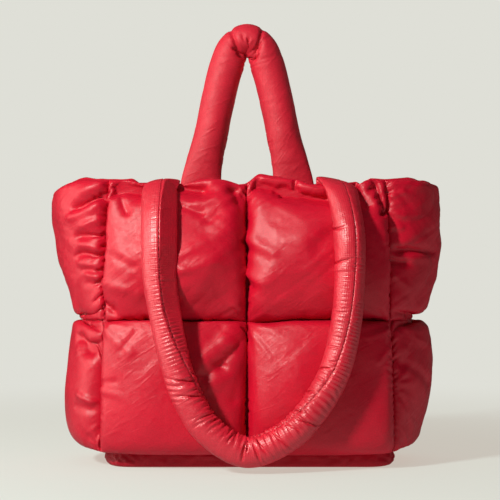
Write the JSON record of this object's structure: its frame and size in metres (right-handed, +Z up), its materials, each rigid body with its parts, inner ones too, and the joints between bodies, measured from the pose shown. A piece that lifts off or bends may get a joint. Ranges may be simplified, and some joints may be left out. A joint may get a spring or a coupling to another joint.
{
  "type": "quilted tote bag",
  "caption": "Open-topped quilted puffer tote with padded walls and base and stuffed tube handles: the front handle hangs over the rim, the back handle stands up.",
  "frame": {"origin": "middle of the base's flat underside, on the surface that the bag stands on", "axes": "+Z up, +X to the right seen from the front, the front wall faces -Y"},
  "size_m": [0.4167, 0.246, 0.4821],
  "materials": {
    "quilted_shell": "semi-gloss coated nylon over soft filling",
    "handle_shell": "semi-gloss coated nylon, stuffed and gathered"
  },
  "bodies": {
    "root": {"front_panel": "quilted_shell", "back_panel": "quilted_shell", "left_side_panel": "quilted_shell", "right_side_panel": "quilted_shell", "base_panel": "quilted_shell", "front_handle": "handle_shell", "back_handle": "handle_shell"}
  },
  "joints": []
}
